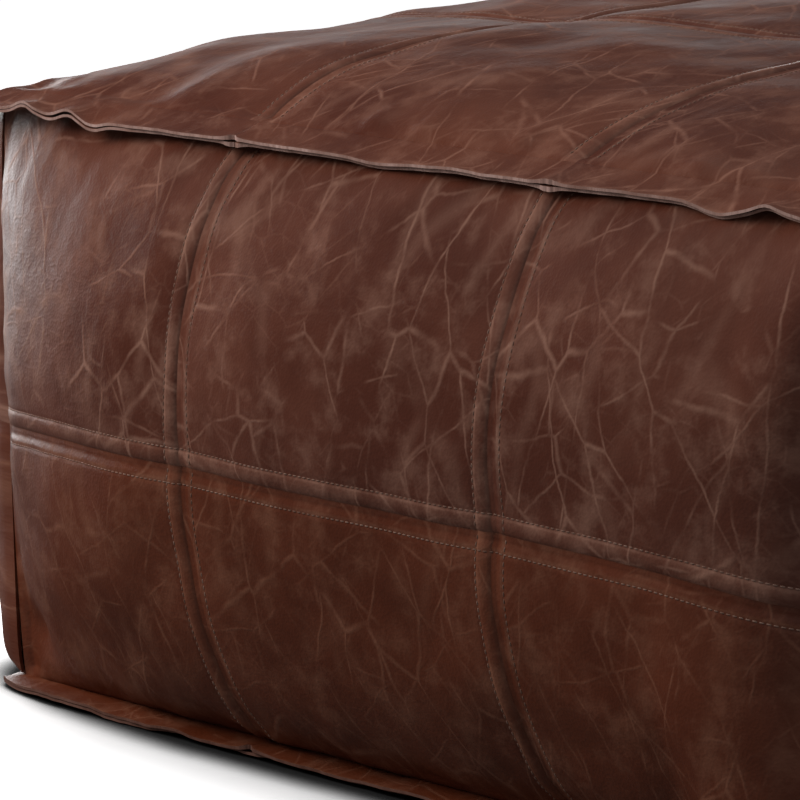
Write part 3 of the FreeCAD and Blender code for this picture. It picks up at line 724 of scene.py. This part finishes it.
class Nodes:
    """A short way to write a material's node tree."""

    def __init__(self, name):
        self.material = bpy.data.materials.new(name)
        self.material.use_nodes = True
        self.tree = self.material.node_tree
        self.tree.nodes.clear()
        self.shader = self.add("ShaderNodeBsdfPrincipled")
        self.output = self.add("ShaderNodeOutputMaterial")
        self.link(self.shader.outputs[0], self.output.inputs["Surface"])

    def link(self, a, b):
        self.tree.links.new(a, b)

    def add(self, kind, **settings):
        node = self.tree.nodes.new(kind)
        for key, value in settings.items():
            setattr(node, key, value)
        return node

    def feed(self, socket, value):
        if isinstance(value, bpy.types.NodeSocket):
            self.link(value, socket)
        else:
            socket.default_value = value

    def math(self, operation, a, b=0.0, c=0.0, clamp=False):
        node = self.add("ShaderNodeMath", operation=operation, use_clamp=clamp)
        for socket, value in zip(node.inputs, (a, b, c)):
            self.feed(socket, value)
        return node.outputs[0]

    def vector_math(self, operation, a, b):
        node = self.add("ShaderNodeVectorMath", operation=operation)
        self.feed(node.inputs[0], a)
        self.feed(node.inputs["Scale" if operation == "SCALE" else 1], b)
        return node.outputs[0]

    def noise(self, where, scale, detail=3.0, roughness=0.5, color=False, distortion=0.0, flat=False):
        node = self.add("ShaderNodeTexNoise", noise_dimensions="2D" if flat else "3D")
        self.feed(node.inputs["Vector"], where)
        node.inputs["Scale"].default_value = scale
        node.inputs["Detail"].default_value = detail
        node.inputs["Roughness"].default_value = roughness
        node.inputs["Distortion"].default_value = distortion
        return node.outputs["Color" if color else "Fac"]

    def noise_trio(self, where, scale):
        """Three noises that don't follow each other."""
        split = self.add("ShaderNodeSeparateColor")
        self.link(self.noise(where, scale, 3.0, 0.6, color=True, flat=True), split.inputs[0])
        return split.outputs

    def drift(self, where, scale, roughness):
        """A noise vector about zero."""
        colors = self.noise(where, scale, 2.0, roughness, color=True, flat=True)
        return self.vector_math("SUBTRACT", colors, (0.5, 0.5, 0.5))

    def voronoi(self, where, scale, feature="DISTANCE_TO_EDGE", flat=False):
        dimensions = "2D" if flat else "3D"
        node = self.add("ShaderNodeTexVoronoi", feature=feature, voronoi_dimensions=dimensions)
        self.feed(node.inputs["Vector"], where)
        node.inputs["Scale"].default_value = scale
        return node.outputs["Distance"]

    def open_air(self, distance):
        """The share of directions that nothing blocks within the distance."""
        node = self.add("ShaderNodeAmbientOcclusion", samples=24)
        node.inputs["Distance"].default_value = distance
        return node.outputs["AO"]

    def cracks(self, where, angle, across, along, width):
        """Lines between long cells: 1 on a line, 0 off it.  across and along are cells per metre."""
        spin = self.add("ShaderNodeVectorRotate", rotation_type="Z_AXIS")
        self.feed(spin.inputs["Vector"], where)
        spin.inputs["Angle"].default_value = math.radians(angle)
        cells = self.vector_math("MULTIPLY", spin.outputs[0], (across, along, 1.0))
        return self.remap(self.voronoi(cells, 1.0, flat=True), 0.0, width, 1.0, 0.0)

    def remap(self, value, low, high, to_low=0.0, to_high=1.0, smooth=True):
        node = self.add("ShaderNodeMapRange", interpolation_type="SMOOTHSTEP" if smooth else "LINEAR")
        self.feed(node.inputs["Value"], value)
        limits = {"From Min": low, "From Max": high, "To Min": to_low, "To Max": to_high}
        for name, number in limits.items():
            self.feed(node.inputs[name], number)
        return node.outputs["Result"]

    def mix(self, share, a, b, blend="MIX"):
        node = self.add("ShaderNodeMix", data_type="RGBA", blend_type=blend)
        self.feed(node.inputs[0], share)
        for socket, value in zip((node.inputs[6], node.inputs[7]), (a, b)):
            self.feed(socket, (*value, 1) if isinstance(value, tuple) else value)
        return node.outputs[2]

    def bump(self, height, distance, strength=1.0):
        node = self.add("ShaderNodeBump")
        self.feed(node.inputs["Height"], height)
        node.inputs["Distance"].default_value = distance
        node.inputs["Strength"].default_value = strength
        return node.outputs[0]

    def finish(self, color, roughness, normal=None, **others):
        self.feed(self.shader.inputs["Base Color"], (*color, 1) if isinstance(color, tuple) else color)
        self.feed(self.shader.inputs["Roughness"], roughness)
        if normal is not None:
            self.link(normal, self.shader.inputs["Normal"])
        for name, value in others.items():
            self.feed(self.shader.inputs[name.replace("_", " ")], value)
        return self.material


def crease_web(n, hide, bent):
    """Three sets of long creases and two finer ones, each in patches.  The glow is a soft halo."""
    patches = n.noise_trio(hide, 13.0)
    more_patches = n.noise_trio(hide, 21.0)
    uneven = n.remap(n.noise(hide, 60.0, 2.0, 0.6, flat=True), 0.32, 0.62, 0.40, 1.0)
    strokes = [
        (n.cracks(bent, 14, 27, 12.0, 0.032), patches[0], 0.40, 0.60, 1.0),
        (n.cracks(bent, -24, 36, 14.0, 0.038), patches[1], 0.42, 0.60, 0.9),
        (n.cracks(bent, 66, 29, 14.0, 0.032), more_patches[0], 0.44, 0.60, 0.7),
        (n.cracks(bent, 38, 64, 30.0, 0.060), more_patches[1], 0.46, 0.62, 0.30),
        (n.cracks(bent, -70, 88, 50.0, 0.080), more_patches[2], 0.48, 0.62, 0.20),
    ]
    lines = 0.0
    for stroke, patch, low, high, strength in strokes:
        there = n.math("MULTIPLY", stroke, n.remap(patch, low, high, 0.0, strength))
        lines = n.math("MAXIMUM", lines, there)
    lines = n.math("MULTIPLY", lines, uneven)
    glow = n.cracks(bent, 14, 26, 12.0, 0.17)
    return lines, n.math("MULTIPLY", glow, n.remap(patches[0], 0.40, 0.60))


def leather(name, dark, middle, light, marks=1.0):
    """Waxed pull-up leather: clouded colour, a web of paler creases, ridges worn paler with painted
    highlights, fine grain.
    """
    n = Nodes(name)
    hide = n.add("ShaderNodeAttribute", attribute_name="hide").outputs["Vector"]
    wear = n.add("ShaderNodeAttribute", attribute_name="wear").outputs["Fac"]
    wander = n.drift(hide, 17.0, 0.5)
    shiver = n.drift(hide, 130.0, 0.6)
    bent = n.vector_math("ADD", hide, n.vector_math("SCALE", wander, 0.014))
    bent = n.vector_math("ADD", bent, n.vector_math("SCALE", shiver, 0.0016))
    lines, glow = crease_web(n, hide, bent)

    cloud = n.noise(hide, 7.5, 4.0, 0.62, flat=True)
    blotch = n.noise(hide, 38.0, 4.0, 0.65, flat=True)
    color = n.mix(n.remap(cloud, 0.33, 0.66), dark, middle)
    color = n.mix(n.remap(blotch, 0.45, 0.75, 0.0, 0.22), color, light)
    color = n.mix(n.math("MULTIPLY", glow, 0.15 * marks), color, light)
    color = n.mix(n.math("MULTIPLY", lines, 0.44 * marks), color, light)
    # Seams, crest and flange tips are mixed towards the pale colour: worn tone, and on the seams and
    # crest painted highlights.
    worn_and_painted_highlight = n.math("MULTIPLY", wear, n.remap(blotch, 0.3, 0.7, 0.15, 0.60), clamp=True)
    color = n.mix(worn_and_painted_highlight, color, light)

    # one height in metres carries the wrinkles, the creases and the grain
    grain = n.math("MULTIPLY", n.voronoi(hide, 620.0, "F1", flat=True), 0.00009)
    wrinkles = n.math("MULTIPLY", n.noise(bent, 80.0, 3.0, 0.55, flat=True), 0.0004)
    height = n.math("ADD", n.math("ADD", grain, wrinkles), n.math("MULTIPLY", lines, 0.00010))
    roughness = n.remap(blotch, 0.3, 0.7, 0.45, 0.57, smooth=False)
    roughness = n.math("ADD", roughness, n.math("MULTIPLY", lines, 0.1))
    roughness = n.math("SUBTRACT", roughness, n.math("MULTIPLY", wear, 0.12))
    roughness = n.math("MAXIMUM", roughness, 0.17)
    return n.finish(color, roughness, n.bump(height, 1.0), Specular_IOR_Level=0.40)


def raw_edge(name, pale, middle):
    """The cut edge of the leather: pale, fibrous and a little ragged."""
    n = Nodes(name)
    hide = n.add("ShaderNodeAttribute", attribute_name="hide").outputs["Vector"]
    fibre = n.noise(n.vector_math("MULTIPLY", hide, (1.0, 1.0, 6.0)), 700.0, 4.0, 0.7)
    blotch = n.noise(hide, 60.0, 3.0, 0.6)
    broad = n.noise(hide, 14.0, 2.0, 0.5)
    color = n.mix(n.remap(blotch, 0.3, 0.7), middle, pale)
    color = n.mix(n.remap(broad, 0.35, 0.65, 0.0, 0.45), color, (0.20, 0.10, 0.075))
    color = n.mix(n.remap(fibre, 0.40, 0.75, 0.0, 0.5), color, (0.16, 0.08, 0.06))
    return n.finish(color, 0.85, n.bump(fibre, 0.0004, 0.6), Specular_IOR_Level=0.2)


def thread_material():
    n = Nodes("waxed thread")
    place = n.add("ShaderNodeTexCoord").outputs["Object"]
    tone = n.noise(place, 45.0, 3.0, 0.6)
    color = n.mix(n.remap(tone, 0.3, 0.7), (0.165, 0.088, 0.062), (0.26, 0.155, 0.118))
    twist = n.noise(place, 2600.0, 2.0, 0.6)
    return n.finish(color, 0.6, n.bump(twist, 0.0002, 0.6), Specular_IOR_Level=0.3)


def cloth_material(name, warp, weft, scale):
    """A plain weave: two sets of ribs at right angles, with uneven yarn."""
    n = Nodes(name)
    place = n.add("ShaderNodeTexCoord").outputs["Object"]
    split = n.add("ShaderNodeSeparateXYZ")
    n.link(n.vector_math("SCALE", place, scale), split.inputs[0])
    ribs = [n.math("SINE", split.outputs[k]) for k in range(3)]
    weave = n.math("MULTIPLY", ribs[0], n.math("ADD", ribs[1], 0.2))
    weave = n.math("MULTIPLY", weave, n.math("ADD", ribs[2], 1.4))
    slub = n.noise(place, 90.0, 4.0, 0.6)
    color = n.mix(n.remap(weave, -0.8, 0.8), warp, weft)
    color = n.mix(n.remap(slub, 0.4, 0.7, 0.0, 0.3), color, tuple(c * 0.7 for c in warp))
    return n.finish(color, 0.9, n.bump(weave, 0.0003, 0.6), Specular_IOR_Level=0.2)


def fibre_material():
    n = Nodes("loose fibre wadding")
    place = n.add("ShaderNodeTexCoord").outputs["Object"]
    stretched = n.vector_math("MULTIPLY", place, (1.0, 1.0, 0.4))
    tangle = n.noise(stretched, 240.0, 6.0, 0.7, distortion=1.5)
    color = n.mix(n.remap(tangle, 0.3, 0.7), (0.66, 0.65, 0.61), (0.86, 0.85, 0.82))
    return n.finish(color, 1.0, n.bump(tangle, 0.003, 0.8), Specular_IOR_Level=0.1)


def foam_material():
    n = Nodes("open cell foam")
    place = n.add("ShaderNodeTexCoord").outputs["Object"]
    cells = n.voronoi(place, 900.0)
    stain = n.noise(place, 12.0, 3.0, 0.5)
    color = n.mix(n.remap(stain, 0.3, 0.7), (0.72, 0.64, 0.38), (0.80, 0.74, 0.50))
    color = n.mix(n.remap(cells, 0.0, 0.25, 0.5, 0.0), color, (0.45, 0.38, 0.20))
    return n.finish(color, 0.95, n.bump(cells, 0.0006, 0.7), Specular_IOR_Level=0.15)


def metal_material():
    n = Nodes("antiqued brass")
    place = n.add("ShaderNodeTexCoord").outputs["Object"]
    tarnish = n.noise(place, 420.0, 4.0, 0.6)
    scratch = n.noise(n.vector_math("MULTIPLY", place, (1.0, 14.0, 1.0)), 900.0, 3.0, 0.6)
    color = n.mix(n.remap(tarnish, 0.35, 0.7), (0.42, 0.29, 0.13), (0.16, 0.11, 0.06))
    roughness = n.remap(scratch, 0.3, 0.7, 0.25, 0.5)
    return n.finish(color, roughness, n.bump(scratch, 0.0001, 0.4), Metallic=1.0)


def nylon_material():
    n = Nodes("zip coil nylon")
    place = n.add("ShaderNodeTexCoord").outputs["Object"]
    split = n.add("ShaderNodeSeparateXYZ")
    n.link(place, split.inputs[0])
    turns = n.math("SINE", n.math("MULTIPLY", split.outputs[0], 2 * math.pi / 0.0015))
    color = n.mix(n.remap(turns, -1.0, 1.0), (0.012, 0.008, 0.006), (0.045, 0.028, 0.020))
    return n.finish(color, 0.4, n.bump(turns, 0.0005, 0.8), Specular_IOR_Level=0.5)


def floor_material():
    """White paper, with a painted shadow close to the pouf.  The camera sees it brighter than the pouf
    does.
    """
    n = Nodes("white floor")
    place = n.add("ShaderNodeTexCoord").outputs["Object"]
    path = n.add("ShaderNodeLightPath").outputs
    # painted shadow: the camera's floor colour is darkened where the pouf blocks nearby directions
    painted_contact_shadow = n.remap(n.open_air(0.035), 0.45, 0.90, 0.03, 1.0)
    shadow = n.math("MULTIPLY", painted_contact_shadow, n.open_air(0.085))
    paper = n.math("MULTIPLY", shadow, n.remap(n.noise(place, 30.0, 3.0, 0.5), 0.3, 0.7, *PAPER))
    level = n.math("MULTIPLY_ADD", path["Is Glossy Ray"], PAPER_SHINE - PAPER_BOUNCE, PAPER_BOUNCE)
    extra = n.math("SUBTRACT", paper, level)
    level = n.math("MULTIPLY_ADD", path["Is Camera Ray"], extra, level)
    diffuse = n.add("ShaderNodeBsdfDiffuse")
    color = n.add("ShaderNodeCombineColor")
    for socket in color.inputs[:3]:
        n.link(level, socket)
    n.link(color.outputs[0], diffuse.inputs["Color"])
    n.link(diffuse.outputs[0], n.output.inputs["Surface"])
    n.tree.nodes.remove(n.shader)
    return n.material


# ------------------------------------------------------------------ light and camera


def make_floor():
    bpy.ops.mesh.primitive_plane_add(size=60, location=(0, 0, 0))
    floor = bpy.context.object
    floor.name = "floor"
    floor.data.materials.append(floor_material())


def make_world():
    """A white room that is brightest overhead.  Shiny surfaces see a dimmer one."""
    scene = bpy.context.scene
    scene.view_settings.view_transform = "Standard"
    world = bpy.data.worlds.new("studio")
    scene.world = world
    world.use_nodes = True
    world.cycles.sampling_method = "NONE"
    tree = world.node_tree
    tree.nodes.clear()
    output = tree.nodes.new("ShaderNodeOutputWorld")
    background = tree.nodes.new("ShaderNodeBackground")
    path = tree.nodes.new("ShaderNodeLightPath")
    place = tree.nodes.new("ShaderNodeTexCoord")
    split = tree.nodes.new("ShaderNodeSeparateXYZ")
    tree.links.new(place.outputs["Generated"], split.inputs[0])

    def combine(operation, a, b, c=0.0):
        node = tree.nodes.new("ShaderNodeMath")
        node.operation = operation
        for socket, value in zip(node.inputs, (a, b, c)):
            if isinstance(value, float):
                socket.default_value = value
            else:
                tree.links.new(value, socket)
        return node.outputs[0]

    height = combine("MAXIMUM", split.outputs[2], 0.0)
    lit = combine("MULTIPLY_ADD", height, SKY_RISE, SKY_LEVEL)
    share = combine("MULTIPLY_ADD", path.outputs["Is Glossy Ray"], SHINE - 1, 1.0)
    to_camera = path.outputs["Is Camera Ray"]
    unseen = combine("MULTIPLY", combine("MULTIPLY", lit, share), combine("SUBTRACT", 1.0, to_camera))
    tree.links.new(combine("ADD", unseen, to_camera), background.inputs["Strength"])
    tree.links.new(background.outputs[0], output.inputs["Surface"])


def area_light(name, place, target, size, power, diffuse=True, glossy=True):
    data = bpy.data.lights.new(name, "AREA")
    data.shape = "RECTANGLE"
    data.size, data.size_y = size
    data.energy = power
    light = bpy.data.objects.new(name, data)
    light.location = place
    light.rotation_euler = (Vector(target) - Vector(place)).to_track_quat("-Z", "Y").to_euler()
    light.visible_camera = False
    light.visible_diffuse = diffuse
    light.visible_glossy = glossy
    bpy.context.scene.collection.objects.link(light)


def make_camera():
    """A long lens, a little above the pouf and well round towards its right side."""
    azimuth, pitch, roll = math.radians(48.68), math.radians(10.53), math.radians(-1.16)
    distance = 2.5
    target = Vector((-0.0132, -SEAM, 0.1924))
    back = Vector((math.sin(azimuth), -math.cos(azimuth), 0)) * math.cos(pitch)
    back.z = math.sin(pitch)
    data = bpy.data.cameras.new("camera")
    data.sensor_width = 36
    data.lens = 234
    data.clip_end = 100
    camera = bpy.data.objects.new("camera", data)
    camera.location = target + back * distance
    facing = (-back).to_track_quat("-Z", "Y").to_matrix().to_4x4()
    camera.matrix_world = Matrix.Translation(camera.location) @ facing @ Matrix.Rotation(roll, 4, "Z")
    bpy.context.scene.collection.objects.link(camera)
    bpy.context.scene.camera = camera


def paint_nodes(materials):
    """Gives each CAD node that still shows a procedural material."""
    for name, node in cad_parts.items():
        for prefix, material in materials.items():
            if name.startswith(prefix):
                node.data.materials.clear()
                node.data.materials.append(material)


edge = raw_edge("raw leather edge", (0.57, 0.38, 0.33), (0.33, 0.19, 0.155))
# Dark raw edges for the lower flanges and the base's hem: painted shade on edges that face down, out
# of the light.
painted_shade_edge = raw_edge("raw edge in painted shade", (0.125, 0.058, 0.042), (0.07, 0.026, 0.017))
top_leather = leather(
    "top leather",
    dark=(0.092, 0.020, 0.009),
    middle=(0.136, 0.036, 0.017),
    light=(0.38, 0.18, 0.12),
)
upper_leather = leather(
    "upper side leather",
    dark=(0.087, 0.022, 0.0115),
    middle=(0.127, 0.038, 0.0215),
    light=(0.38, 0.20, 0.14),
)
# The lower row's copy is darker and redder: partly a darker hide, partly painted shade for panels that
# face down towards the floor.
lower_leather = leather(
    "lower side leather",
    dark=(0.088, 0.018, 0.006),
    middle=(0.122, 0.028, 0.011),
    light=(0.30, 0.13, 0.075),
    marks=0.75,
)
base_leather = leather(
    "base leather",
    dark=(0.060, 0.018, 0.010),
    middle=(0.085, 0.030, 0.018),
    light=(0.20, 0.11, 0.08),
    marks=0.4,
)

for row in range(3):
    for column in range(3):
        top_panel(row, column, [top_leather, edge])
for turn in range(4):
    for column in range(3):
        side_panel(turn, "upper", column, [upper_leather, edge])
        side_panel(turn, "lower", column, [lower_leather, painted_shade_edge])
for side in (-1, 1):
    base_panel(side, [base_leather, painted_shade_edge])
make_stitching(thread_material())
make_liner(cloth_material("liner cotton", (0.62, 0.57, 0.47), (0.74, 0.70, 0.60), 5200.0))
make_wadding(fibre_material())
make_foam(foam_material())
brass = metal_material()
tape = cloth_material("zip tape", (0.020, 0.011, 0.008), (0.045, 0.026, 0.018), 7000.0)
paint_nodes(
    {
        "zip_tape": tape,
        "zip_coil": nylon_material(),
        "zip_slider": brass,
        "zip_pull_tab": brass,
        "zip_end_stops": brass,
    }
)

make_floor()
make_world()
area_light("left sheen", (-1.47, 0.02, 0.35), (-0.33, -0.35, 0.22), (0.85, 0.42), 12, diffuse=False)
area_light("rear sheen", (-3.0, 3.2, 0.68), (0, 0, 0.36), (3.5, 0.64), 18, diffuse=False)
area_light("front fill", (-1.3, -1.2, 1.15), (-0.2, -0.3, 0.15), (0.9, 0.9), 26, glossy=False)
make_camera()
